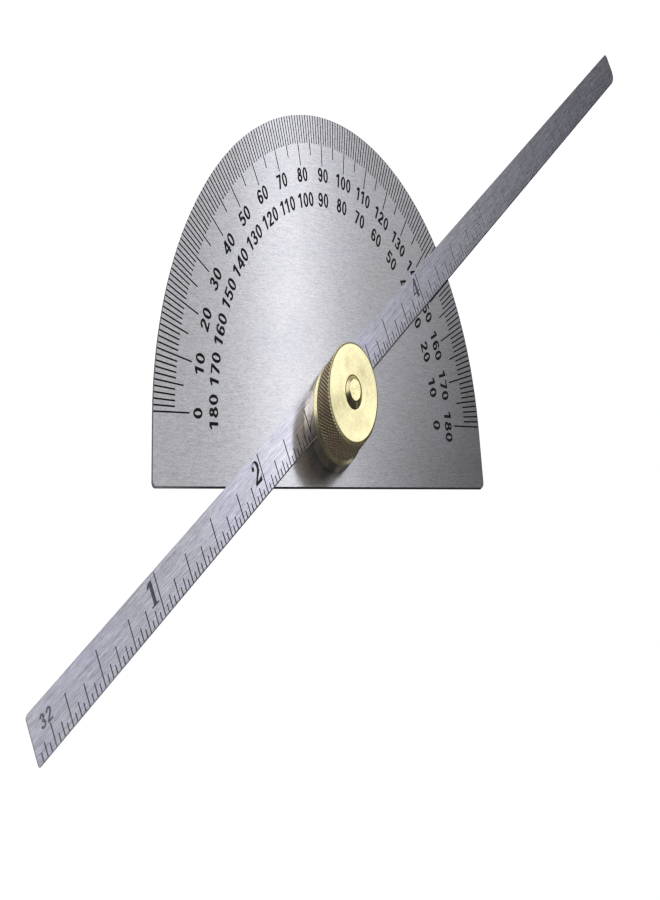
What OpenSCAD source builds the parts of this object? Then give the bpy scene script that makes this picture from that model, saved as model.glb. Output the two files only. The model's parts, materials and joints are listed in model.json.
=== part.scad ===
// Round-head protractor with a sliding, swinging rule.
// The head lies flat on the XY plane with its graduated face up (+Z).
// Origin: on the pivot axis, which is the centre of the degree scale, in the
// plane of the flat back. +X runs along the 0 to 180 line, +Y towards 90.
// The rule is shown clamped at an angle, its reading edge close to the centre.

/* [Head plate] */
// Radius of the round edge of the head
head_r = 41.4; // [35:0.1:50]
// How far the centre of the round edge lies below the pivot
edge_centre_drop = 0.4; // [0:0.1:1]
// Distance from the 0 to 180 line down to the straight base edge
base_drop = 8.1; // [7:0.1:12]
// Thickness of the head plate
head_t = 0.8; // [0.7:0.05:1.5]
// Corner radius at the two ends of the base edge
base_corner_r = 0.7; // [0.3:0.1:2]

/* [Degree scale] */
// Width of an etched line, on the head and on the rule
line_w = 0.2; // [0.12:0.01:0.25]
// Depth of an etched line
line_depth = 0.05; // [0.03:0.01:0.1]
// Radius at which the 1 degree lines start; they run out to the round edge
deg_start_1 = 36.9; // [34:0.1:39]
// Radius at which the 5 degree lines start
deg_start_5 = 35.2; // [32:0.1:38]
// Radius at which the 10 degree lines start
deg_start_10 = 33.8; // [30:0.1:37]

/* [Rule] */
// Overall length of the rule
rule_len = 195.9; // [150:0.1:230]
// Width of the rule
rule_w = 5.4; // [4.8:0.1:5.6]
// Thickness of the rule
rule_t = 0.55; // [0.45:0.05:1]
// Distance from the pivot to the zero end of the rule
zero_reach = 69.8; // [30:0.05:120]
// Distance of the reading edge from the pivot axis, across the rule
edge_offset = 0.33; // [0:0.01:0.6]
// Angle of the rule above the 0 to 180 line
rule_angle = 29.6; // [0:0.1:180]
// Corner radius at the zero end
zero_corner_r = 0.4; // [0.2:0.1:1]
// Corner radius at the far end, on the plain edge
far_corner_r = 0.9; // [0.3:0.1:2]
// Corner radius at the far end, on the reading edge
far_edge_corner_r = 1.8; // [0.3:0.1:2.5]
// Bevel along the top of the reading edge
edge_bevel = 0.15; // [0.05:0.05:0.3]

/* [Rule divisions] */
// Length of the unit that is divided, one inch
unit_len = 25.4; // [25.4]
// Number of divisions in a unit
unit_div = 32; // [16, 32]
// Length of the finest lines, as a share of the rule's width
share_32 = 0.19; // [0.1:0.01:0.3]
// Length of the 1/16 lines
share_16 = 0.3; // [0.2:0.01:0.4]
// Length of the 1/8 lines
share_8 = 0.48; // [0.3:0.01:0.6]
// Length of the 1/4 lines
share_4 = 0.67; // [0.4:0.01:0.75]
// Length of the 1/2 lines
share_2 = 0.78; // [0.5:0.01:0.9]
// Length of the whole unit lines
share_1 = 0.96; // [0.6:0.01:0.98]

/* [Clamp stud] */
// Radius of the flush head on the back
stud_head_r = 4.25; // [3.5:0.05:5]
// Thickness of the flush head
stud_head_t = 0.4; // [0.3:0.05:0.45]
// Radius of the plain shank that turns in the head plate
shank_r = 2.5; // [2.3:0.1:3]
// Radius of the threaded end
thread_r = 2.0; // [1.5:0.1:2.2]
// How far the stud's end stands above the front face of the head plate
stud_reach = 10.45; // [9.9:0.1:12]
// Size of the 45 degree chamfer on the stud's end
stud_chamfer = 0.7; // [0.2:0.1:1]

/* [Swivel collar] */
// Radius of the smooth collar
collar_r = 6.5; // [6.3:0.1:8]
// Height of the collar's top above the front face of the head plate
collar_reach = 3.7; // [3:0.1:4.5]
// Lift of the collar's underside above the front face, so it clamps on the rule
collar_lift_gap = 0.1; // [0.05:0.05:0.2]
// Chamfer round the collar's top edge
collar_chamfer = 0.7; // [0.1:0.05:0.9]

/* [Knurled nut] */
// Outer radius of the nut
nut_r = 6.35; // [5.5:0.05:7.5]
// Height of the nut
nut_h = 5.98; // [4:0.02:6.2]
// Chamfer at the nut's front edge
nut_front_chamfer = 0.25; // [0.1:0.05:0.6]
// Chamfer at the nut's rear edge
nut_rear_chamfer = 0.3; // [0.1:0.05:0.8]
// Edge break at the mouths of the threaded hole
nut_bore_break = 0.12; // [0.05:0.01:0.3]

/* [Fits] */
// Running clearance of the turning and threaded fits, on the radius
run_gap = 0.05; // [0.02:0.01:0.08]
// Clearance of the flat sliding faces
face_gap = 0.02; // [0.01:0.01:0.05]

/* [Hidden] */
// levels of the rule's underside and top, and of the slot's roof in the collar
rule_z = head_t + face_gap;
rule_top = rule_z + rule_t;
slot_roof = rule_top + face_gap;
// levels of the collar, the nut and the stud's end
collar_z0 = head_t + collar_lift_gap;
collar_z1 = head_t + collar_reach;
nut_z0 = collar_z1 + face_gap;
nut_z1 = nut_z0 + nut_h;
stud_z1 = head_t + stud_reach;
// the plain shank stops inside the collar, this far below its top
shank_drop = 0.4;
// radii of the holes round the shank and the thread
shank_hole_r = shank_r + run_gap;
nut_bore_r = thread_r + run_gap;
// half length of the cuts for the rule, and width of the stud's notch
slot_half_len = 8;
notch_w = 8;
// side of the square bar that cuts the rule's bevel
bevel_bar = 1;
// how far cutting shapes run past the faces they cut
over = 1;
// smoothness of round parts
fine = 128;

// Cylinder on the pivot axis, from level z0 to level z1
module rod(radius, z0, z1) {
    translate([0, 0, z0]) cylinder(r = radius, h = z1 - z0, $fn = fine);
}

// Cone on the pivot axis, from level z0 to level z1
module cone(low_r, high_r, z0, z1) {
    translate([0, 0, z0]) cylinder(r1 = low_r, r2 = high_r, h = z1 - z0, $fn = fine);
}

// Rod with a 45 degree chamfer round its top edge
module chamfered_rod(radius, z0, z1, chamfer) {
    rod(radius, z0, z1 - chamfer);
    cone(radius, radius - chamfer, z1 - chamfer, z1);
}

// Outline of the head: a half disc on a shallow rectangle with eased corners
module head_outline() {
    corner_x = head_r - base_corner_r;
    corner_y = base_corner_r - base_drop;
    union() {
        intersection() {
            translate([0, -edge_centre_drop]) circle(r = head_r, $fn = 360);
            translate([-head_r - over, -edge_centre_drop])
                square([2 * (head_r + over), head_r + over]);
        }
        translate([-head_r, corner_y]) square([2 * head_r, -corner_y - edge_centre_drop]);
        translate([-corner_x, -base_drop]) square([2 * corner_x, base_drop - edge_centre_drop]);
        for (side = [-1, 1])
            translate([side * corner_x, corner_y]) circle(r = base_corner_r, $fn = 48);
    }
}

// Radius at which the line of a given degree starts
function deg_start(degree) =
    degree % 10 == 0 ? deg_start_10
    : degree % 5 == 0 ? deg_start_5
    : deg_start_1;

// The shallow grooves of the degree scale, running off the round edge
module degree_lines() {
    for (degree = [0:180])
        rotate([0, 0, degree])
            translate([deg_start(degree), -line_w / 2, head_t - line_depth])
                cube([head_r + over - deg_start(degree), line_w, over]);
}

// Head plate: flat, etched with the scale, with the pivot hole and a recess
// in the back for the stud's head
module protractor_plate() {
    color([0.74, 0.75, 0.78]) difference() {
        linear_extrude(height = head_t) head_outline();
        degree_lines();
        rod(shank_hole_r, -over, head_t + over);
        rod(stud_head_r + run_gap, -over, stud_head_t + face_gap);
    }
}

// The waste outside a rounded corner that points to -X -Y
module corner_waste(radius) {
    difference() {
        translate([-over, -over]) square([over + radius, over + radius]);
        translate([radius, radius]) circle(r = radius, $fn = 64);
    }
}

// Outline of the rule: zero end at x = 0, reading edge along y = 0
module rule_outline() {
    difference() {
        square([rule_len, rule_w]);
        corner_waste(zero_corner_r);
        translate([0, rule_w]) mirror([0, 1]) corner_waste(zero_corner_r);
        translate([rule_len, 0]) mirror([1, 0]) corner_waste(far_edge_corner_r);
        translate([rule_len, rule_w]) rotate(180) corner_waste(far_corner_r);
    }
}

// Length of the line at a division, counted from the zero end
function rule_line_len(i) = rule_w * (
    i % unit_div == 0 ? share_1
    : i % (unit_div / 2) == 0 ? share_2
    : i % (unit_div / 4) == 0 ? share_4
    : i % (unit_div / 8) == 0 ? share_8
    : i % (unit_div / 16) == 0 ? share_16
    : share_32);

// The shallow grooves of the rule's divisions, running off the reading edge
module rule_lines() {
    pitch = unit_len / unit_div;
    // the small addition keeps a last line that falls exactly on the limit
    count = floor((rule_len - far_edge_corner_r) * unit_div / unit_len);
    for (i = [1:count])
        translate([i * pitch - line_w / 2, -over, rule_t - line_depth])
            cube([line_w, over + rule_line_len(i), over]);
}

// Rule: a narrow flat strip lying on the face of the head, through the collar
module rule() {
    color([0.66, 0.67, 0.72]) rotate([0, 0, rule_angle])
        translate([-zero_reach, edge_offset, rule_z]) difference() {
            linear_extrude(height = rule_t) rule_outline();
            rule_lines();
            translate([-over, 0, rule_t - edge_bevel]) rotate([45, 0, 0])
                cube([rule_len + 2 * over, bevel_bar, bevel_bar]);
        }
}

// Cut that clears the rule, starting just outside its reading edge
module rule_slot(width, z0, z1) {
    rotate([0, 0, rule_angle])
        translate([-slot_half_len, edge_offset - run_gap, z0])
            cube([2 * slot_half_len, width, z1 - z0]);
}

// Stud: flush head at the back, plain shank notched on one side where the
// rule passes, and a threaded end, left plain, with a chamfer
module clamp_stud() {
    color([0.78, 0.66, 0.36]) difference() {
        union() {
            rod(stud_head_r, 0, stud_head_t);
            rod(shank_r, 0, collar_z1 - shank_drop);
            chamfered_rod(thread_r, 0, stud_z1, stud_chamfer);
        }
        rule_slot(notch_w, head_t - face_gap, slot_roof + face_gap);
    }
}

// Collar: a smooth ring on the stud, slotted underneath to hold the rule square
module swivel_collar() {
    color([0.72, 0.62, 0.36]) difference() {
        union() {
            chamfered_rod(collar_r, collar_z0, collar_z1, collar_chamfer);
        }
        rod(shank_hole_r, collar_z0 - over, collar_z1 + over);
        rule_slot(rule_w + 2 * run_gap, collar_z0 - over, slot_roof);
    }
}

// Nut: round, with a smooth edge chamfered front and rear; the threaded hole
// is a plain bore with running clearance
module knurled_nut() {
    mouth_r = nut_bore_r + 2 * nut_bore_break;
    color([0.82, 0.72, 0.42]) difference() {
        union() {
            cone(nut_r - nut_rear_chamfer, nut_r, nut_z0, nut_z0 + nut_rear_chamfer);
            chamfered_rod(nut_r, nut_z0 + nut_rear_chamfer, nut_z1, nut_front_chamfer);
        }
        rod(nut_bore_r, nut_z0 - over, nut_z1 + over);
        cone(nut_bore_r, mouth_r, nut_z1 - nut_bore_break, nut_z1 + nut_bore_break);
        cone(mouth_r, nut_bore_r, nut_z0 - nut_bore_break, nut_z0 + nut_bore_break);
    }
}

protractor_plate();
rule();
clamp_stud();
swivel_collar();
knurled_nut();
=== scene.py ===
"""A protractor head with a sliding steel rule and a knurled brass clamp nut.

The head lies in the XY plane with its graduated face towards +Z, its pivot at the
origin and its round edge towards +Y. The rule slides along ALONG.
"""
import json
import math
from functools import lru_cache

import bmesh
import bpy
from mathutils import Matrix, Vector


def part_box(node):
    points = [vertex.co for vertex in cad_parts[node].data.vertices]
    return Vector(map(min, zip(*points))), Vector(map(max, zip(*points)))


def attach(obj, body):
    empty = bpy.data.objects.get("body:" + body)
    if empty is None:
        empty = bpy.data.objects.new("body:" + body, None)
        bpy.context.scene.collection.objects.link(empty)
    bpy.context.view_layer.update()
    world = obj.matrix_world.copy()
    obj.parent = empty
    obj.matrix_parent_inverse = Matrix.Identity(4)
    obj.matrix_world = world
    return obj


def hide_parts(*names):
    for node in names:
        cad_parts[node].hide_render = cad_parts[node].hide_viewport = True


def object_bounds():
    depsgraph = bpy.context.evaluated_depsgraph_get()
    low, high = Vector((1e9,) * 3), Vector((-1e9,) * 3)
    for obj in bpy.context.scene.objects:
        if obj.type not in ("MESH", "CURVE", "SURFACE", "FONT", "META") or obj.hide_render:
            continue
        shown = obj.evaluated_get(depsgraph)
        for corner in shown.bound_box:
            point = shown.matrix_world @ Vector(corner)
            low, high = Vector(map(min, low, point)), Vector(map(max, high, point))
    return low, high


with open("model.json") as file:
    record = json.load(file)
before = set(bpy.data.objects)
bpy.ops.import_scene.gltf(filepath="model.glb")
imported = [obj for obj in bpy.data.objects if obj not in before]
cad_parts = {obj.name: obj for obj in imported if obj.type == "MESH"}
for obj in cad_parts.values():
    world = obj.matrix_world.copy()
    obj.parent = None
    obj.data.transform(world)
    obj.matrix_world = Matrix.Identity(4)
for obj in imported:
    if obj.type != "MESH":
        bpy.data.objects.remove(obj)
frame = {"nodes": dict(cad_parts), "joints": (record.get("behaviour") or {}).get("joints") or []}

import cycles.osl as cycles_osl
import numpy as np
from mathutils import Matrix, Vector

cad_lo, cad_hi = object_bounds()
MM = 0.001
INCH = 25.4                         # mm

# ---------------------------------------------------------------------------
# Sizes read from the frame
# ---------------------------------------------------------------------------
nodes = frame["nodes"]
joints = {joint["name"]: joint for joint in frame["joints"]}
plate_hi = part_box("protractor_plate")[1]
nut_lo, nut_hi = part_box("knurled_nut")

HEAD_RADIUS = plate_hi.x
HEAD_TOP = plate_hi.z               # graduated face of the head
RULE_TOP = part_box("rule")[1].z      # graduated face of the rule
COLLAR_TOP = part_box("swivel_collar")[1].z
NUT_RADIUS = nut_hi.x
ALONG = Vector(joints["rule_slide"]["axis"]).normalized()
ACROSS = Vector((-ALONG.y, ALONG.x, 0.0))       # away from the rule's reading edge
rule_points = np.array([v.co for v in nodes["rule"].data.vertices], float)
RULE_ZERO = float((rule_points @ np.array(ALONG)).min())    # zero end, along the rule
RULE_EDGE = float((rule_points @ np.array(ACROSS)).min())   # reading edge, across it
LINE_DEPTH = 0.05 * MM              # depth of the etched lines

# Numerals
RAISE = 0.012 * MM                  # top of a numeral above its surface
SINK = 0.03 * MM                    # bottom of a numeral below its surface
DEGREE_HEIGHT = 1.97                # mm
INCH_HEIGHT = 2.75                  # mm
INCH_GAP = 0.24                     # from an inch numeral to its inch line, mm
DIVISION_HEIGHT = 1.45              # mm
RULE_TEXT_Y = 3.42                  # middle of the rule's numerals above its edge, mm

# Nut
BORE = 2.05 * MM
TEETH = 80
POINTS_PER_TOOTH = 10
KNURL_DEPTH = 0.19 * MM
KNURL_PITCH = 0.80 * MM             # along the axis
KNURL_FLAT = 1.55                   # above 1, the diamonds get small flats
REAR_CHAMFER = 0.30 * MM
FRONT_CHAMFER = 0.25 * MM

FLOOR_Z = min(cad_lo.z, 0.0) - 0.0001
FLOOR_HALF = 6.0


# ---------------------------------------------------------------------------
# Shader helpers
# ---------------------------------------------------------------------------
def rgba(colour):
    return (*colour, 1.0)


def shade(tint, factors):
    return tuple(part * factor for part, factor in zip(tint, factors))


class Net:
    """Short calls for building a node tree. Values may be numbers or sockets."""

    def __init__(self, owner):
        owner.use_nodes = True
        self.tree = owner.node_tree
        self.tree.nodes.clear()

    def put(self, kind, values=(), out=0, **settings):
        """Adds a node and returns one output; values go by input name or in input order."""
        node = self.tree.nodes.new("ShaderNode" + kind)
        for key, value in settings.items():
            setattr(node, key, value)
        for key, value in values.items() if isinstance(values, dict) else enumerate(values):
            if isinstance(value, bpy.types.NodeSocket):
                self.tree.links.new(value, node.inputs[key])
            elif value is not None:
                node.inputs[key].default_value = value
        return node.outputs[out]

    def output(self, kind, shader):
        node = self.tree.nodes.new("ShaderNodeOutput" + kind)
        self.tree.links.new(shader, node.inputs[0])

    def math(self, operation, *values, clamp=False):
        return self.put("Math", values, operation=operation, use_clamp=clamp)

    def swing(self, value, gain, base):
        """base, moved by gain times the distance of value from 0.5."""
        return self.math("MULTIPLY_ADD", self.math("SUBTRACT", value, 0.5), gain, base)

    def vmath(self, operation, first, second=None, scale=None):
        out = 1 if operation in ("DOT_PRODUCT", "LENGTH") else 0
        return self.put("VectorMath", (first, second, None, scale), out, operation=operation)

    def split(self, vector):
        return self.put("SeparateXYZ", [vector]).node.outputs

    def object_mm(self):
        return self.vmath("SCALE", self.put("TexCoord", out="Object"), scale=1000.0)

    def to_world(self, vector):
        return self.put("VectorTransform", [vector], vector_type="VECTOR",
                        convert_from="OBJECT", convert_to="WORLD")

    def mapping(self, vector, rot=(0, 0, 0), scale=(1, 1, 1), loc=(0, 0, 0)):
        return self.put("Mapping", {"Vector": vector, "Location": loc,
                                    "Rotation": rot, "Scale": scale})

    def noise(self, vector, scale=1.0, detail=2.0, rough=0.5):
        return self.put("TexNoise", {"Vector": vector, "Scale": scale,
                                     "Detail": detail, "Roughness": rough})

    def ramp(self, value, stops):
        """A grey ramp through (position, level) stops."""
        output = self.put("ValToRGB", [value])
        elements = output.node.color_ramp.elements
        while len(elements) < len(stops):
            elements.new(0.5)
        for element, (position, level) in zip(elements, stops):
            element.position = position
            element.color = (level, level, level, 1)
        return output

    def remap(self, value, span, to, clamp=True):
        return self.put("MapRange", (value, *span, *to), clamp=clamp)

    def mix(self, share, first, second):
        return self.put("Mix", {0: share, 6: first, 7: second}, out=2, data_type="RGBA")

    def bump(self, height, strength, distance):
        return self.put("Bump", {"Strength": strength, "Distance": distance, "Height": height})


# ---------------------------------------------------------------------------
# Materials
# ---------------------------------------------------------------------------
FILLING_SPECULAR = 0.18


def brushed_steel(name, along, tint, streak, contrast, hairline=0.045, haze=0.3, ink=None):
    """Stainless steel brushed along a direction in the XY plane.

    streak is the length and width of a typical streak in mm; contrast and hairline are
    the strengths of streaks and dark hairlines. haze is the share of a second, much
    wider reflection. ink is (mm along the direction, cover) stops, which say how
    much black filling covers the steel at each place along the direction.
    """
    base_rough = 0.165
    mat = bpy.data.materials.new(name)
    net = Net(mat)
    length, width = streak
    angle = math.atan2(along[1], along[0])
    point = net.object_mm()
    brushed = net.mapping(point, rot=(0, 0, -angle))

    def grain(scale, loc=(0, 0), detail=2.0, rough=0.5):
        placed = net.mapping(brushed, scale=(*scale, 1.0), loc=(*loc, 0))
        return net.noise(placed, detail=detail, rough=rough)

    fine = grain(scale=(1 / length, 1 / width), rough=0.6)
    middle = grain(scale=(0.35 / length, 0.42 / width), loc=(7, 3), rough=0.6)
    grit = grain(scale=(2.6 / length, 0.9 / width), loc=(13, 1), detail=1.0)
    cloud = grain(scale=(0.10, 0.16), loc=(1, 5), detail=3.0, rough=0.6)
    hair = grain(scale=(0.03, 5.5), loc=(4, 8))
    speck = grain(scale=(4.5, 8.5), loc=(2, 6), detail=1.0)

    # the three streak sizes in their shares
    streaks = net.math("MULTIPLY", fine, 0.45)
    for noise, share in ((middle, 0.25), (grit, 0.30)):
        streaks = net.math("ADD", streaks, net.math("MULTIPLY", noise, share))

    value = net.swing(streaks, gain=contrast, base=1.0)
    value = net.math("MULTIPLY", value, net.remap(cloud, span=(0.3, 0.7), to=(0.965, 1.03)))
    hairs = net.remap(hair, span=(0.63, 0.70), to=(0.0, 1.0))
    value = net.math("MULTIPLY_ADD", hairs, -hairline, value)
    saturation = net.remap(cloud, span=(0.3, 0.7), to=(0.75, 1.3))
    colour = net.put("HueSaturation", {"Color": rgba(tint), "Value": value,
                                       "Saturation": saturation})
    rough = net.swing(streaks, gain=0.12, base=base_rough)
    rough = net.math("ADD", rough, net.remap(cloud, span=(0.35, 0.65), to=(-0.012, 0.018)))

    cover = None
    if ink:
        patch = net.noise(point, scale=0.55, detail=4.0, rough=0.7)
        # the patches shift the filling's limits by up to 12 mm
        place = net.swing(patch, gain=24.0, base=net.vmath("DOT_PRODUCT", point, tuple(along)))
        start, end = ink[0][0], ink[-1][0]
        cover = net.ramp(net.remap(place, span=(start, end), to=(0.0, 1.0)),
                         [((at - start) / (end - start), level) for at, level in ink])
        colour = net.mix(cover, colour, rgba((0.016, 0.016, 0.018)))
        rough = net.math("MULTIPLY_ADD", cover, 0.35, rough)

    tangent = net.to_world(net.put("CombineXYZ", (-math.sin(angle), math.cos(angle))))
    relief = net.bump(net.math("ADD", net.math("MULTIPLY", fine, 0.5), speck),
                      strength=0.30, distance=0.010 * MM)

    def reflection(roughness, anisotropy, specular):
        return net.put("BsdfPrincipled", {
            "Base Color": colour,
            "Metallic": net.math("SUBTRACT", 1.0, cover) if ink else 1.0,
            "Roughness": roughness,
            "Anisotropic": anisotropy,
            "Specular IOR Level": specular,
            "Tangent": tangent,
            "Normal": relief,
        })

    sharp = reflection(rough, anisotropy=0.78, specular=FILLING_SPECULAR if ink else 0.5)
    wide = reflection(net.math("ADD", rough, 0.26), anisotropy=0.6,
                      specular=FILLING_SPECULAR)
    net.output("Material", net.put("MixShader", (haze, sharp, wide)))
    return mat


def enamel(name, tone):
    """The black filling of etched lines and numerals, slightly uneven."""
    mat = bpy.data.materials.new(name)
    net = Net(mat)
    noise = net.noise(net.object_mm(), scale=2.6, detail=4.0, rough=0.7)
    worn = shade((tone,) * 3, (1.9, 1.85, 1.95))
    net.output("Material", net.put("BsdfPrincipled", {
        "Base Color": net.mix(net.remap(noise, span=(0.45, 0.75), to=(0.0, 1.0)),
                              rgba((tone,) * 3), rgba(worn)),
        "Roughness": net.remap(noise, span=(0.3, 0.7), to=(0.45, 0.62)),
        "Specular IOR Level": FILLING_SPECULAR,
        "Normal": net.bump(noise, strength=0.15, distance=0.01 * MM),
    }))
    return mat


def brass(name, tint, rough, grime, bump, face=False, rim_shade=None, valley_shade=None, aniso=0.6,
          texture=0.07):
    """Turned brass: fine rings round the Z axis, with tarnished patches.

    face is for flat turned faces, otherwise the rings run up a side. grime, bump and
    texture are the strengths of the tarnished patches, relief and shading. rim_shade
    (faces only) is the pair of radii in mm between which painted shade darkens the face
    outwards, towards its edge; valley_shade (sides only) is the pair between which painted
    shade darkens the surface inwards, down into the knurl's valleys.
    """
    mat = bpy.data.materials.new(name)
    net = Net(mat)
    point = net.object_mm()
    x, y, z = net.split(point)
    if face or valley_shade:
        flat = net.put("CombineXYZ", (x, y))
        radius = net.vmath("LENGTH", flat)
    angle = net.math("ARCTAN2", y, x)
    ring_scale = 9.0
    round_scale = 0.5 if face else 1.2
    rings = net.noise(net.put("CombineXYZ", (
        net.math("MULTIPLY", radius if face else z, ring_scale),
        net.math("MULTIPLY", net.math("SINE", angle), round_scale),
        net.math("MULTIPLY", net.math("COSINE", angle), round_scale),
    )), detail=4.0, rough=0.7)
    cloud = net.noise(point, scale=0.32, detail=4.0, rough=0.6)
    spots = net.noise(net.mapping(point, loc=(5, 8, 2)), scale=1.4, detail=3.0, rough=0.6)
    sand = net.noise(net.mapping(point, loc=(3, 1, 9)), scale=3.2, detail=3.0, rough=0.7)

    patches = net.remap(cloud, span=(0.48, 0.72), to=(0.0, 1.0))
    dots = net.remap(spots, span=(0.66, 0.74), to=(0.0, 1.0))
    tarnish_and_shade = net.math("ADD", net.math("MULTIPLY", patches, grime),
                       net.math("MULTIPLY", dots, grime * 0.8), clamp=True)
    dark = shade(tint, (0.55, 0.47, 0.36))
    # painted shade: the colour darkens inwards by radius, down into the knurl's valleys,
    # standing in for the shade there
    if valley_shade:
        tarnish_and_shade = net.math("MAXIMUM", tarnish_and_shade, net.remap(radius, span=valley_shade, to=(1.0, 0.0)))
        dark = shade(tint, (0.30, 0.25, 0.20))
    colour = net.mix(tarnish_and_shade, rgba(tint), rgba(dark))
    # painted shade: a dark band darkens the turned face outwards towards its edge, standing in
    # for the shade where face and chamfer meet
    if rim_shade:
        colour = net.mix(net.remap(radius, span=rim_shade, to=(0.0, 1.0)), colour,
                         rgba(shade(tint, (0.16, 0.14, 0.10))))
    ring_shade, sand_shade = (
        net.remap(noise, span=(0.3, 0.7), to=(1.0 - texture, 1.0 + 0.6 * texture), clamp=False)
        for noise in (rings, sand))
    value = net.math("MULTIPLY", ring_shade, sand_shade)
    ring_rough = net.remap(rings, span=(0.3, 0.7), to=(rough - 0.05, rough + 0.06))
    inputs = {
        "Base Color": net.put("HueSaturation", {"Color": colour, "Value": value}),
        "Metallic": 1.0,
        "Roughness": net.math("ADD", ring_rough, net.math("MULTIPLY", tarnish_and_shade, 0.15)),
        "Normal": net.bump(rings, strength=bump, distance=0.02 * MM),
    }
    if face:
        # the tiny offset keeps the direction defined on the axis
        radial = net.vmath("NORMALIZE", net.vmath("ADD", flat, (1e-6, 0, 0)))
        inputs["Anisotropic"] = aniso
        inputs["Tangent"] = net.to_world(radial)
    net.output("Material", net.put("BsdfPrincipled", inputs))
    return mat


RULE_BRUSH = dict(along=ALONG, tint=(0.625, 0.625, 0.725), streak=(2.6, 0.105),
                  contrast=2.3, hairline=0.08, haze=0.32)
# (mm along the rule's direction, cover of the black filling)
RULE_INK = ((-70.0, 0.66), (-54.0, 0.75), (-40.0, 0.84), (-28.0, 0.95), (14.0, 0.95),
            (30.0, 0.84), (44.0, 0.62), (60.0, 0.34), (76.0, 0.0))
NUT_MM = NUT_RADIUS / MM

plate_steel = brushed_steel("plate_steel", along=(1, 0, 0), tint=(0.600, 0.602, 0.640),
                            streak=(0.75, 0.110), contrast=1.70)
rule_steel = brushed_steel("rule_steel", **RULE_BRUSH)
plate_ink = enamel("plate_enamel", tone=0.006)
rule_ink = brushed_steel("rule_enamel", ink=RULE_INK, **RULE_BRUSH)
# One brass throughout, tinted surface by surface by how brightly each is lit. The nut's turned
# face has a paler tint, partly painted highlight, and a painted dark band at its edge.
nut_face = brass("nut_brass_face", tint=(0.96, 0.89, 0.55), rough=0.33, grime=0.30, bump=0.60,
                 face=True, rim_shade=(NUT_MM - 0.48, NUT_MM - 0.36), aniso=0.7, texture=0.15)
# The knurl's darker tint is painted shade, with painted shade in its valleys.
nut_side = brass("nut_brass_knurl", tint=(0.70, 0.58, 0.40), rough=0.24, grime=0.45,
                 bump=0.05, valley_shade=(NUT_MM - 0.17, NUT_MM - 0.02), texture=0.30)
# The front chamfer's paler tint is a painted highlight, with painted shade towards the face.
nut_edge = brass("nut_brass_edge", tint=(0.84, 0.77, 0.48), rough=0.15, grime=0.10,
                 bump=0.05, valley_shade=(NUT_MM - 0.50, NUT_MM - 0.20))
# The collar's darker tint is painted shade.
collar_brass = brass("collar_brass", tint=(0.68, 0.61, 0.47), rough=0.20, grime=0.50,
                     bump=0.10)
# The collar's top chamfer's paler tint is a painted highlight.
collar_edge = brass("collar_brass_edge", tint=(0.92, 0.85, 0.52), rough=0.20, grime=0.20,
                    bump=0.10)
stud_brass = brass("stud_brass", tint=(0.80, 0.73, 0.43), rough=0.24, grime=0.30, bump=0.80,
                   face=True, texture=0.18)
# The stud's chamfer's darker tint is painted shade.
stud_edge = brass("stud_brass_edge", tint=(0.62, 0.55, 0.34), rough=0.20, grime=0.50,
                  bump=0.10)


# ---------------------------------------------------------------------------
# Materials of the CAD pieces
# ---------------------------------------------------------------------------
def dress(node, first, second, is_second):
    """Gives a piece two materials; is_second picks the faces of the second."""
    mesh = nodes[node].data
    mesh.materials.clear()
    mesh.materials.append(first)
    mesh.materials.append(second)
    slots = [int(is_second(mesh, face)) for face in mesh.polygons]
    mesh.polygons.foreach_set("material_index", slots)
    mesh.update()


def in_line(mesh, face, top):
    """True for the floors and walls of the shallow etched lines."""
    lowest = min(mesh.vertices[i].co.z for i in face.vertices)
    return lowest > top - 1.4 * LINE_DEPTH and top - lowest > 0.5 * LINE_DEPTH


def plate_filled(mesh, face):
    """Etched faces, without the walls at the round edge."""
    inside = math.hypot(face.center.x, face.center.y) < HEAD_RADIUS - 0.01 * MM
    return in_line(mesh, face, HEAD_TOP) and (inside or abs(face.normal.z) > 0.5)


def rule_filled(mesh, face):
    """Etched faces, without the walls at the reading edge."""
    return in_line(mesh, face, RULE_TOP) and (
        abs(face.normal.z) > 0.9 or abs(face.normal.dot(ACROSS)) < 0.6
        or face.center.dot(ACROSS) > RULE_EDGE + 0.16 * MM)


def slopes_above(height):
    """Picks sloping faces above a height, such as a chamfer."""
    return lambda mesh, face: 0.3 < face.normal.z < 0.95 and face.center.z > height


dress("protractor_plate", plate_steel, plate_ink, plate_filled)
dress("rule", rule_steel, rule_ink, rule_filled)
dress("clamp_stud", stud_brass, stud_edge, slopes_above(nut_hi.z - 0.5 * MM))
dress("swivel_collar", collar_brass, collar_edge, slopes_above(COLLAR_TOP - 1.2 * MM))


def make_object(name, verts, faces, mats=(), slots=None):
    mesh = bpy.data.meshes.new(name)
    mesh.from_pydata(verts, [], faces)
    for mat in mats:
        mesh.materials.append(mat)
    if slots is not None:
        mesh.polygons.foreach_set("material_index", slots)
    mesh.update()
    ob = bpy.data.objects.new(name, mesh)
    bpy.context.scene.collection.objects.link(ob)
    return ob


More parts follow.
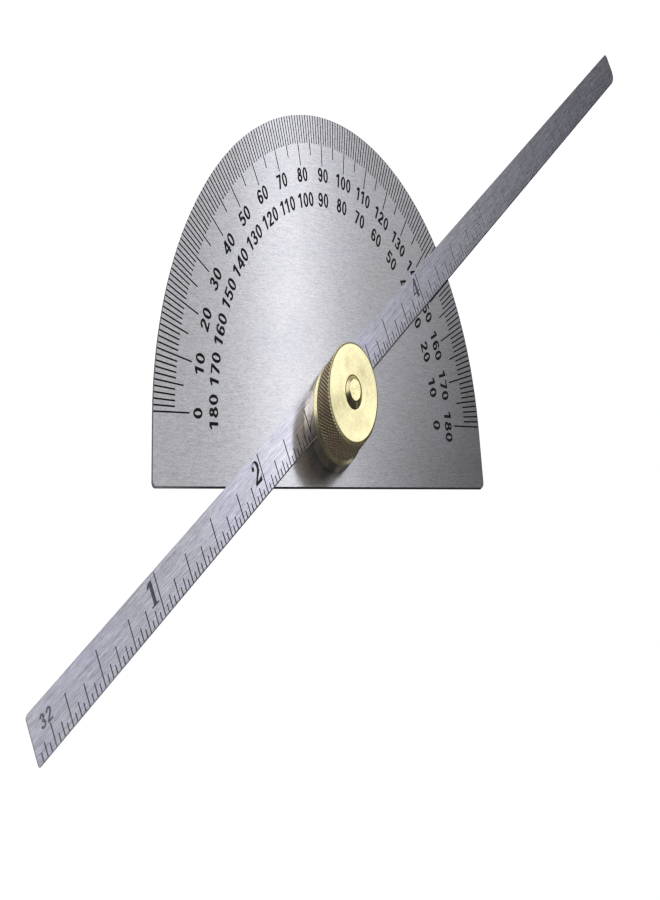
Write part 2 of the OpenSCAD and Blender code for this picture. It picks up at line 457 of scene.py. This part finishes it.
# ---------------------------------------------------------------------------
# Glyphs: signed distances on a grid, negative inside, in units of numeral height
# ---------------------------------------------------------------------------
class Pen:
    """Distances from the grid points x, y to simple shapes."""

    def __init__(self, x, y):
        self.x = x
        self.y = y

    def stroke(self, x0, y0, x1, y1, half0, half1=None):
        """Straight stroke with square ends; its half width runs from half0 to half1."""
        half1 = half0 if half1 is None else half1
        dx, dy = x1 - x0, y1 - y0
        length = math.hypot(dx, dy)
        along = ((self.x - x0) * dx + (self.y - y0) * dy) / length
        side = np.abs((self.x - x0) * -dy + (self.y - y0) * dx) / length
        half = half0 + (half1 - half0) * np.clip(along / length, 0, 1)
        return keep(side - half, -along, along - length)

    def box(self, x0, y0, x1, y1):
        return keep(x0 - self.x, self.x - x1, y0 - self.y, self.y - y1)

    def oval(self, cx, cy, rx, ry):
        """Approximate distance to an ellipse."""
        ratio = np.hypot((self.x - cx) / rx, (self.y - cy) / ry)
        slope = np.hypot((self.x - cx) / rx ** 2, (self.y - cy) / ry ** 2) + 1e-9
        return ratio * (ratio - 1.0) / slope

    def ring(self, cx, cy, rx, ry, wall_x, wall_y):
        """Oval band, wall_x thick at the sides and wall_y at top and bottom."""
        return cut(self.oval(cx, cy, rx, ry), self.oval(cx, cy, rx - wall_x, ry - wall_y))

    def left_of(self, limit):
        return self.x - limit

    def right_of(self, limit):
        return limit - self.x

    def below(self, limit):
        return self.y - limit

    def above(self, limit):
        return limit - self.y


def union(first, *others):
    for other in others:
        first = np.minimum(first, other)
    return first


def keep(first, *others):
    """The part the shapes have in common."""
    for other in others:
        first = np.maximum(first, other)
    return first


def cut(first, *others):
    return keep(first, *(-other for other in others))


# Plain sans numerals from arcs and bars. Each function returns (shape, advance).
STEM = 0.178                        # thickness of upright strokes
BAR = STEM * 0.92                   # thickness of level strokes


def plain_0(pen):
    return pen.ring(0.28, 0.5, 0.28, 0.51, STEM, BAR), 0.56


def plain_1(pen):
    stem = pen.box(0.20, 0.0, 0.20 + STEM, 1.0)
    flag = keep(pen.stroke(0.02, 0.72, 0.30, 1.00, 0.085),
                pen.below(1.0), pen.left_of(0.30), pen.above(0.66))
    return union(stem, flag), 0.50


def plain_2(pen):
    top = cut(pen.ring(0.27, 0.72, 0.27, 0.29, STEM, STEM),
              pen.box(-1, -1, 0.27, 0.68), pen.box(0.0, -1, 1.0, 0.585))
    diagonal = keep(pen.stroke(0.455, 0.635, 0.03, 0.07, STEM * 0.52),
                    pen.above(0.0), pen.left_of(0.545))
    foot = pen.box(0.0, 0.0, 0.55, BAR)
    return union(top, diagonal, foot), 0.57


def plain_3(pen):
    upper = cut(pen.ring(0.26, 0.735, 0.245, 0.275, STEM, BAR), pen.box(-1, 0.46, 0.22, 0.745))
    lower = cut(pen.ring(0.26, 0.28, 0.285, 0.29, STEM, BAR), pen.box(-1, 0.27, 0.22, 1.0))
    waist = pen.box(0.19, 0.475, 0.30, 0.475 + STEM * 0.88)
    return union(upper, lower, waist), 0.56


def plain_4(pen):
    stem = pen.box(0.355, 0.0, 0.355 + STEM, 1.0)
    bar = pen.box(0.0, 0.235, 0.60, 0.235 + STEM * 0.9)
    diagonal = keep(pen.stroke(0.025, 0.27, 0.44, 1.02, STEM * 0.47),
                    pen.above(0.235), pen.below(1.0), pen.left_of(0.47))
    return union(stem, bar, diagonal), 0.60


def plain_5(pen):
    top = pen.box(0.10, 1.0 - BAR, 0.52, 1.0)
    side = keep(pen.stroke(0.075, 0.46, 0.155, 1.0, STEM * 0.46), pen.below(1.0))
    bowl = cut(pen.ring(0.27, 0.325, 0.28, 0.335, STEM, BAR),
               pen.box(-1, 0.24, 0.13, 0.62), pen.box(-1, 0.27, 0.24, 0.47))
    return union(top, side, bowl), 0.56


def plain_6(pen):
    bowl = pen.ring(0.29, 0.31, 0.27, 0.32, STEM, STEM * 0.9)
    back = cut(pen.ring(0.30, 0.5, 0.30, 0.51, STEM, STEM * 0.9),
               pen.box(0.30, -1, 1.2, 0.735), pen.box(0.18, -1, 1.2, 0.2))
    return union(bowl, back), 0.56


def plain_7(pen):
    bar = pen.box(0.02, 1.0 - BAR, 0.55, 1.0)
    leg = keep(pen.stroke(0.50, 1.0, 0.20, -0.04, STEM * 0.52),
               pen.above(0.0), pen.below(1.0), pen.left_of(0.55))
    return union(bar, leg), 0.56


def plain_8(pen):
    upper = pen.ring(0.28, 0.74, 0.235, 0.27, STEM, STEM * 0.88)
    lower = pen.ring(0.28, 0.285, 0.28, 0.295, STEM, BAR)
    return union(upper, lower), 0.56


def plain_9(pen):
    """A 6 turned half round."""
    return plain_6(Pen(0.56 - pen.x, 1.0 - pen.y))


# Heavy numerals with thick and thin strokes and flat feet, for the rule
def serif_1(pen):
    stem = pen.box(0.19, 0.0, 0.41, 1.0)
    foot = pen.box(0.02, 0.0, 0.58, 0.065)
    knees = cut(pen.box(0.12, 0.0, 0.48, 0.13),
                pen.oval(0.10, 0.135, 0.09, 0.07), pen.oval(0.50, 0.135, 0.09, 0.07))
    flag = keep(pen.stroke(0.02, 0.815, 0.30, 0.985, 0.045, 0.10), pen.below(1.0))
    return union(stem, foot, knees, flag), 0.62


def serif_2(pen):
    bow = cut(pen.oval(0.31, 0.70, 0.30, 0.31), pen.oval(0.255, 0.70, 0.165, 0.265),
              pen.box(-1, -1, 0.30, 0.70), pen.box(-1, -1, 1.2, 0.50))
    ball = pen.oval(0.125, 0.745, 0.105, 0.095)
    diagonal = keep(pen.stroke(0.53, 0.56, 0.05, 0.07, 0.10, 0.05),
                    pen.above(0.0), pen.left_of(0.60))
    foot = cut(pen.box(0.02, 0.0, 0.60, 0.22), pen.oval(0.24, 0.235, 0.30, 0.085))
    foot = keep(foot, pen.below(0.20), pen.left_of(0.62))
    tip = keep(pen.stroke(0.56, 0.0, 0.63, 0.30, 0.035, 0.02), pen.below(0.28))
    return union(bow, ball, diagonal, foot, tip), 0.66


def serif_3(pen):
    upper = cut(pen.oval(0.28, 0.745, 0.25, 0.26), pen.oval(0.235, 0.745, 0.13, 0.215),
                pen.box(-1, -1, 0.24, 0.76))
    lower = cut(pen.oval(0.28, 0.265, 0.29, 0.275), pen.oval(0.225, 0.265, 0.15, 0.225),
                pen.box(-1, 0.25, 0.22, 1.2))
    upper_ball = pen.oval(0.12, 0.79, 0.09, 0.08)
    lower_ball = pen.oval(0.11, 0.205, 0.10, 0.085)
    waist = pen.box(0.18, 0.49, 0.34, 0.545)
    return union(upper, lower, upper_ball, lower_ball, waist), 0.62


def serif_4(pen):
    stem = pen.box(0.36, 0.0, 0.56, 1.0)
    bar = pen.box(0.0, 0.24, 0.68, 0.325)
    diagonal = keep(pen.stroke(0.01, 0.27, 0.47, 1.02, 0.038, 0.045),
                    pen.above(0.24), pen.below(1.0), pen.left_of(0.5))
    foot = pen.box(0.26, 0.0, 0.66, 0.055)
    return union(stem, bar, diagonal, foot), 0.70


def serif_5(pen):
    top = cut(pen.box(0.10, 0.83, 0.56, 1.0), pen.oval(0.32, 0.82, 0.26, 0.035))
    side = pen.box(0.10, 0.50, 0.155, 1.0)
    bowl = cut(pen.oval(0.28, 0.31, 0.30, 0.32), pen.oval(0.225, 0.31, 0.155, 0.265),
               pen.box(-1, 0.22, 0.20, 0.60))
    ball = pen.oval(0.115, 0.22, 0.10, 0.09)
    arm = keep(pen.stroke(0.12, 0.525, 0.30, 0.60, 0.03, 0.035), pen.left_of(0.32))
    return union(top, side, bowl, ball, arm), 0.64


def serif_6(pen):
    back = cut(pen.oval(0.32, 0.50, 0.32, 0.51), pen.oval(0.40, 0.50, 0.20, 0.46),
               pen.box(0.42, -1, 1.2, 1.2))
    back = keep(back, pen.left_of(0.45))
    bowl = cut(pen.oval(0.33, 0.30, 0.29, 0.31), pen.oval(0.33, 0.30, 0.11, 0.255))
    ball = pen.oval(0.49, 0.83, 0.085, 0.08)
    arm = keep(pen.ring(0.36, 0.66, 0.22, 0.35, 0.06, 0.06),
               pen.above(0.80), pen.left_of(0.56), pen.right_of(0.30))
    return union(back, bowl, ball, arm), 0.66


def serif_7(pen):
    bar = cut(pen.box(0.04, 0.78, 0.60, 1.0), pen.oval(0.27, 0.775, 0.22, 0.055))
    leg = keep(pen.stroke(0.56, 0.86, 0.22, -0.02, 0.05, 0.12), pen.above(0.0))
    tip = pen.box(0.03, 0.66, 0.075, 1.0)
    return union(bar, leg, tip), 0.62


PLAIN = dict(zip("0123456789", (plain_0, plain_1, plain_2, plain_3, plain_4,
                                plain_5, plain_6, plain_7, plain_8, plain_9)))
SERIF = dict(zip("1234567", (serif_1, serif_2, serif_3, serif_4, serif_5, serif_6, serif_7)))


def glyph_faces(draw, cells=56, margin=0.06):
    """Flat polygons that fill a glyph, cut from a grid: (points, faces, advance)."""
    step = (1.0 + 2 * margin) / cells
    xs = np.arange(-margin, 0.78 + margin, step)
    ys = np.arange(-margin, 1.0 + margin + step, step)
    field, advance = draw(Pen(*np.meshgrid(xs, ys, indexing="ij")))
    # keeps the outline off the grid points
    field = np.where(np.abs(field) < 1e-5, -1e-5, field)
    index, faces = {}, []
    for i in range(len(xs) - 1):
        for j in range(len(ys) - 1):
            cell = ((i, j), (i + 1, j), (i + 1, j + 1), (i, j + 1))
            values = [field[corner] for corner in cell]
            if min(values) >= 0:
                continue
            corners = [(xs[a], ys[b]) for a, b in cell]
            outline = []
            for k in range(4):
                here, following = values[k], values[(k + 1) % 4]
                (x0, y0), (x1, y1) = corners[k], corners[(k + 1) % 4]
                if here < 0:
                    outline.append((x0, y0))
                if (here < 0) != (following < 0):
                    share = here / (here - following)
                    outline.append((x0 + share * (x1 - x0), y0 + share * (y1 - y0)))
            face = []
            for x, y in outline:
                number = index.setdefault((round(x, 5), round(y, 5)), len(index))
                if not face or face[-1] != number:
                    face.append(number)
            if len(face) > 2 and face[0] == face[-1]:
                face.pop()
            if len(set(face)) >= 3:
                faces.append(face)
    return list(index), faces, advance


@lru_cache(maxsize=None)
def glyph_solid(draw):
    """A closed solid of a glyph from z = 0 down to z = -1: (verts, faces, advance)."""
    points, faces, advance = glyph_faces(draw)
    bm = bmesh.new()
    corners = [bm.verts.new((x, y, 0)) for x, y in points]
    for face in faces:
        # guards against a sliver face that repeats a point or another face
        try:
            bm.faces.new([corners[i] for i in face])
        except ValueError:
            pass
    bmesh.ops.remove_doubles(bm, verts=bm.verts, dist=1e-4)
    loose = [v for v in bm.verts if not v.link_faces]
    bmesh.ops.delete(bm, geom=loose, context="VERTS")
    bmesh.ops.dissolve_limit(bm, angle_limit=0.03, verts=bm.verts, edges=bm.edges,
                             delimit=set())
    bmesh.ops.recalc_face_normals(bm, faces=bm.faces)
    for face in bm.faces:
        if face.normal.z < 0:
            face.normal_flip()
    result = bmesh.ops.extrude_face_region(bm, geom=list(bm.faces), use_keep_orig=True)
    for element in result["geom"]:
        if isinstance(element, bmesh.types.BMVert):
            element.co.z = -1.0
    bmesh.ops.recalc_face_normals(bm, faces=bm.faces)
    bm.verts.index_update()
    verts = [tuple(v.co) for v in bm.verts]
    solid_faces = [[v.index for v in face.verts] for face in bm.faces]
    bm.free()
    return verts, solid_faces, advance


def join(parts):
    verts, faces = [], []
    for part_verts, part_faces in parts:
        base = len(verts)
        verts += part_verts
        faces += [[i + base for i in face] for face in part_faces]
    return verts, faces


def write_number(text, style, height, place, squeeze=1.0, track=0.10):
    """Verts and faces of a number. place(x, y, z) takes centred mm to the frame.
    squeeze scales its width; track is the gap between numerals in heights."""
    glyphs = [glyph_solid(style[character]) for character in text]
    left = -(sum(glyph[2] for glyph in glyphs) + track * (len(text) - 1)) / 2
    parts = []
    for verts, faces, advance in glyphs:
        placed = [place((x + left) * height * squeeze, (y - 0.5) * height, z)
                  for x, y, z in verts]
        parts.append((placed, faces))
        left += advance + track
    return join(parts)


def seated(point, top, z):
    """A numeral's point, just above or just below the surface at height top."""
    return point.x, point.y, top + RAISE if z > -0.5 else top - SINK


def on_arc(degrees, radius, shift):
    """Placement on the head at an angle from its -X side; radius and shift in mm."""
    angle = math.radians(degrees)
    outward = Vector((-math.cos(angle), math.sin(angle), 0))
    reading = Vector((math.sin(angle), math.cos(angle), 0))

    def place(x, y, z):
        point = outward * (radius * MM + y * MM) + reading * ((x + shift) * MM)
        return seated(point, HEAD_TOP, z)
    return place


def on_rule(distance, height):
    """Placement on the rule: mm from its zero end and from its reading edge."""
    origin = ALONG * (RULE_ZERO + distance * MM) + ACROSS * (RULE_EDGE + height * MM)

    def place(x, y, z):
        return seated(origin + ALONG * (x * MM) + ACROSS * (y * MM), RULE_TOP, z)
    return place


def add_numerals(name, parts, ink, ride):
    ob = make_object(name, *join(parts), [ink])
    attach(ob, ride)


def degree_row(name, numbers, radius, swell, shifts):
    """A row of numerals every 10 degrees, tops towards the round edge. The row bulges
    by swell at the middle of the scale; shifts go by the number of digits. All in mm."""
    parts = []
    for k, number in enumerate(numbers):
        text = str(number)
        bulged = radius + swell * math.cos(math.radians(2 * (10 * k - 90)))
        place = on_arc(10 * k, bulged, shifts[len(text) - 1])
        parts.append(write_number(text, PLAIN, DEGREE_HEIGHT, place, squeeze=1.12))
    add_numerals(name, parts, plate_ink, "head")


def inch_number(inch):
    """An inch numeral, ending just before its inch line."""
    width = glyph_solid(SERIF[str(inch)])[2] * INCH_HEIGHT
    place = on_rule(inch * INCH - INCH_GAP - width / 2, RULE_TEXT_Y)
    return write_number(str(inch), SERIF, INCH_HEIGHT, place)


degree_row("degree_numerals_outer", range(0, 181, 10), radius=32.25, swell=0.25,
           shifts=(0.0, 0.14, 0.14))
degree_row("degree_numerals_inner", range(180, -1, -10), radius=28.75, swell=0.20,
           shifts=(0.0, -0.05, 0.26))
add_numerals("rule_numerals", [inch_number(inch) for inch in range(1, 8)],
             rule_ink, "rule")
division = write_number("32", PLAIN, DIVISION_HEIGHT, on_rule(2.80, RULE_TEXT_Y),
                        squeeze=1.14, track=0.14)
add_numerals("rule_division_mark", [division], rule_ink, "rule")

# ---------------------------------------------------------------------------
# Knurled nut: a turned body with a diamond knurl
# ---------------------------------------------------------------------------
FACE, KNURL, EDGE = 0, 1, 2         # material slots


def nut_profile():
    """Closed profile of the nut as (radius, z, share of the knurl's depth, slot)."""
    low, high = nut_lo.z, nut_hi.z
    mouth = BORE + 0.10 * MM
    face_radius = NUT_RADIUS - FRONT_CHAMFER - 0.06 * MM
    lip = high - 0.012 * MM
    # lines from point to point: (radius, z, knurl, slot, steps)
    lines = (
        (BORE, high - 0.12 * MM, 0.0, KNURL, 9),                        # bore, upwards
        (BORE + 0.07 * MM, high - 0.01 * MM, 0.0, FACE, 1),             # edge break
        (mouth, high, 0.0, FACE, 1),
        (face_radius - 0.04 * MM, high, 0.0, FACE, 25),                 # turned face
        (face_radius + 0.04 * MM, lip, 0.0, FACE, 1),
        (NUT_RADIUS, lip - (FRONT_CHAMFER + 0.05 * MM), 1.0, EDGE, 5),  # front chamfer
        (NUT_RADIUS, low + REAR_CHAMFER, 1.0, KNURL, 79),               # knurled band
        (NUT_RADIUS - REAR_CHAMFER, low, 0.0, KNURL, 5),                # rear chamfer
        (mouth, low, 0.0, FACE, 7),                                     # back face
        (BORE + 0.03 * MM, low + 0.09 * MM, 0.0, FACE, 1),
    )
    start = (BORE, low + 0.12 * MM, 0.0)
    points = [(*start, KNURL)]
    for *end, slot, steps in lines:
        for t in np.linspace(0, 1, steps + 1)[1:]:
            points.append((*(a + t * (b - a) for a, b in zip(start, end)), slot))
        start = end
    return points


def zigzag(x):
    """0 at whole numbers, 1 halfway between them."""
    return 1 - np.abs(2 * (x - np.floor(x)) - 1)


def build_nut():
    around = TEETH * POINTS_PER_TOOTH
    angles = np.arange(around) * 2 * math.pi / around
    tooth = angles * TEETH / (2 * math.pi)
    profile = nut_profile()
    verts = []
    for radius, z, knurl, _ in profile:
        turn = (z - nut_lo.z) / KNURL_PITCH
        ridge = np.minimum(zigzag(tooth + turn), zigzag(tooth - turn))
        height = np.minimum(ridge * KNURL_FLAT, 1.0)
        radii = radius - KNURL_DEPTH * knurl * (1 - height)
        verts += [(r * math.cos(angle), r * math.sin(angle), z)
                  for r, angle in zip(radii, angles)]
    faces, slots = [], []
    for k, point in enumerate(profile):
        after = (k + 1) % len(profile)
        pair = (point[3], profile[after][3])
        slot = EDGE if pair in ((EDGE, EDGE), (FACE, EDGE)) else KNURL if KNURL in pair else FACE
        for i in range(around):
            j = (i + 1) % around
            faces.append((k * around + i, k * around + j,
                          after * around + j, after * around + i))
            slots.append(slot)
    ob = make_object("knurled_nut_turned", verts, faces, [nut_face, nut_side, nut_edge], slots)
    bm = bmesh.new()
    bm.from_mesh(ob.data)
    bmesh.ops.recalc_face_normals(bm, faces=bm.faces)
    bm.to_mesh(ob.data)
    bm.free()
    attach(ob, "nut")
    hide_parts("knurled_nut")
    return ob


nut = build_nut()


# ---------------------------------------------------------------------------
# Floor, world, lights
# ---------------------------------------------------------------------------
def pale_floor():
    """Near white to the camera, mostly dark in what the metal mirrors."""
    mat = bpy.data.materials.new("pale_floor")
    net = Net(mat)
    glow = net.put("Emission", ((1.0, 1.0, 1.0, 1), 0.985))
    matt = net.put("BsdfDiffuse", [(0.09, 0.09, 0.09, 1)])
    seen = net.put("AddShader", (glow, matt))
    # mirrored floor: paler beyond the tool's -X side
    x = net.split(net.put("TexCoord", out="Object"))[0]
    level = net.remap(x, span=(-0.030, -0.055), to=(0.03, 0.42))
    mirrored = net.put("Emission", [net.put("CombineColor", (level, level, level))])
    is_camera = net.put("LightPath", out="Is Camera Ray")
    net.output("Material", net.put("MixShader", (is_camera, mirrored, seen)))
    return mat


def studio_world():
    """A painted room. A direction is (u, v, 1), with u towards +X and v towards +Y."""
    world = bpy.data.worlds.new("studio")
    net = Net(world)
    gain = 1.0 / 0.58               # brightness of the whole room
    x, y, z = net.split(net.put("TexCoord", out="Generated"))
    rise = net.math("MAXIMUM", z, 0.06)
    u = net.math("DIVIDE", x, rise)
    v = net.math("DIVIDE", y, rise)

    def lobe(middle, size, level):
        """A soft patch of light round a (u, v) direction."""
        squares = [
            net.math("POWER", net.math("DIVIDE", net.math("SUBTRACT", value, at), width), 2.0)
            for value, at, width in zip((u, v), middle, size)]
        distance = net.math("MINIMUM", net.math("ADD", *squares), 60.0)
        fade = net.math("EXPONENT", net.math("MULTIPLY", distance, -1.0))
        return net.math("MULTIPLY", fade, level)

    def falling(value, at, soft):
        """1 well below at, 0 well above it."""
        power = net.math("DIVIDE", net.math("SUBTRACT", value, at), soft)
        power = net.math("MAXIMUM", net.math("MINIMUM", power, 30.0), -30.0)
        return net.math("DIVIDE", 1.0, net.math("ADD", net.math("EXPONENT", power), 1.0))

    # lamp panel with a slanted side, over a dim room
    lean = net.math("MULTIPLY", net.math("SUBTRACT", v, 0.40), 0.66)
    panel = net.math("MULTIPLY",
                     falling(net.math("SUBTRACT", u, lean), at=0.69, soft=0.026),
                     net.math("SUBTRACT", 1.0, falling(u, at=-0.15, soft=0.05)))
    panel_level, room_level = 0.330, 0.050
    light = net.math("MULTIPLY_ADD", panel, panel_level, room_level)
    strip = lobe(middle=(0.507, 0.42), size=(0.040, 0.9), level=1.05)
    light = net.math("ADD", light, strip)
    # the room is dim towards -Y
    light = net.math("MULTIPLY", light, net.remap(v, span=(-0.6, 0.1), to=(0.15, 1.0)))
    # window on the -X side, reaching up from a sill
    window_level = 1.5
    window = net.math(
        "MULTIPLY",
        net.math("SUBTRACT", falling(u, at=-0.12, soft=0.05), falling(u, at=-1.70, soft=0.15)),
        net.math("SUBTRACT", falling(v, at=4.5, soft=0.5), falling(v, at=0.38, soft=0.09)))
    light = net.math("MULTIPLY_ADD", window, window_level, light)
    # walls near the horizon: pale towards -X and +Y, and lowest down towards -Y
    walls = net.math("MAXIMUM", net.remap(x, span=(-0.5, 0.3), to=(0.26, 0.02)),
                     net.remap(y, span=(0.45, 0.80), to=(0.02, 0.24)))
    light = net.math("MULTIPLY_ADD", falling(rise, at=0.40, soft=0.04), walls, light)
    low_wall = net.remap(y, span=(-0.45, -0.62), to=(0.0, 0.34))
    light = net.math("MULTIPLY_ADD", falling(rise, at=0.15, soft=0.04), low_wall, light)
    light = net.math("MULTIPLY", light, gain)
    is_camera = net.put("LightPath", out="Is Camera Ray")
    colour = net.mix(is_camera, light, rgba((1.0, 1.0, 1.0)))
    net.output("World", net.put("Background", [colour]))
    return world


def add_softbox():
    """A softbox over the nut, which lights only the turned brass."""
    receivers = bpy.data.collections.new("brass_only")
    for ob in (nut, nodes["clamp_stud"]):
        receivers.objects.link(ob)
    light = bpy.data.lights.new("softbox", "AREA")
    light.shape = "RECTANGLE"
    light.size = 0.34
    light.size_y = 0.20
    light.energy = 0.29
    ob = bpy.data.objects.new("softbox", light)
    scene.collection.objects.link(ob)
    aim = Vector((0.0, 0.0, nut_hi.z))
    ob.location = aim + 0.6 * Vector((0.587, 0.379, 1.0))
    ob.rotation_euler = (ob.location - aim).to_track_quat("Z", "Y").to_euler()
    ob.visible_camera = False
    ob.light_linking.receiver_collection = receivers


floor = make_object("floor", [(x * FLOOR_HALF, y * FLOOR_HALF, FLOOR_Z)
                              for x, y in ((-1, -1), (1, -1), (1, 1), (-1, 1))],
                    [(0, 1, 2, 3)])
floor.data.materials.append(pale_floor())
scene = bpy.context.scene
scene.world = studio_world()
add_softbox()
scene.cycles.filter_width = 1.35
scene.view_settings.view_transform = "Standard"
scene.view_settings.look = "None"

# ---------------------------------------------------------------------------
# Camera: a lens shifted off its axis and drawn out vertically. Away from its
# home position it is a plain lens. Lengths on the frame are in mm; axis_x and
# axis_y are where the lens axis meets it, from its left and top edges.
# ---------------------------------------------------------------------------
LENS = """
shader camera(
    vector home = vector(0, 0, 0), float focal_mm = 38.44, float stretch = 1.9,
    float axis_x = 0.0, float axis_y = 0.0, float frame_w = 26.4, float frame_h = 36.0,
    float plain_mm = 42.57,
    output point position = 0.0, output vector direction = 0.0, output color throughput = 1.0)
{
  point raster = camera_shader_raster_position();
  point here = transform("camera", "world", point(0.0));
  if (distance(here, point(home[0], home[1], home[2])) < 0.0005) {
    direction = normalize(vector(
        (raster[0] * frame_w - axis_x) / focal_mm,
        -(frame_h * (1.0 - raster[1]) - axis_y) / (focal_mm * stretch), 1.0));
  } else {
    vector size;
    getattribute("cam:sensor_size", size);
    point offset = (raster - point(0.5)) * size / plain_mm;
    direction = normalize(vector(offset[0], offset[1], 1.0));
  }
}
"""
PLAIN_LENS = 42.57                  # focal length away from home, mm


def add_camera():
    cam = bpy.data.cameras.new("camera")
    ob = bpy.data.objects.new("camera", cam)
    scene.collection.objects.link(ob)
    scene.camera = ob
    cam.sensor_width = 36.0
    cam.lens = PLAIN_LENS
    cam.clip_start = 0.005
    cam.clip_end = 50.0
    right = Vector((0.789663, -0.184076, 0.585276))
    down = Vector((0.196233, -0.828049, -0.525192))
    ahead = Vector((0.581313, 0.529576, -0.617758))
    home = Vector((-0.10940291, -0.07062243, 0.19627217 + HEAD_TOP))
    turn = Matrix((right, -down, -ahead)).transposed()
    ob.matrix_world = Matrix.Translation(home) @ turn.to_4x4()

    lens = bpy.data.texts.new("shifted_lens.osl")
    lens.write(LENS)
    cam.type = "CUSTOM"
    cam.custom_mode = "INTERNAL"
    cam.custom_shader = lens
    # compiling creates the lens settings; its messages are passed on
    cycles_osl.update_custom_camera_shader(cam, lambda kind, text: print("lens:", kind, text))
    settings = cam.cycles_custom
    settings["home"] = (home.x, home.y, home.z)
    settings["focal_mm"] = 38.441952
    settings["stretch"] = 1.903068
    settings["axis_x"] = 20.517084
    settings["axis_y"] = -4.947828
    settings["plain_mm"] = PLAIN_LENS


add_camera()
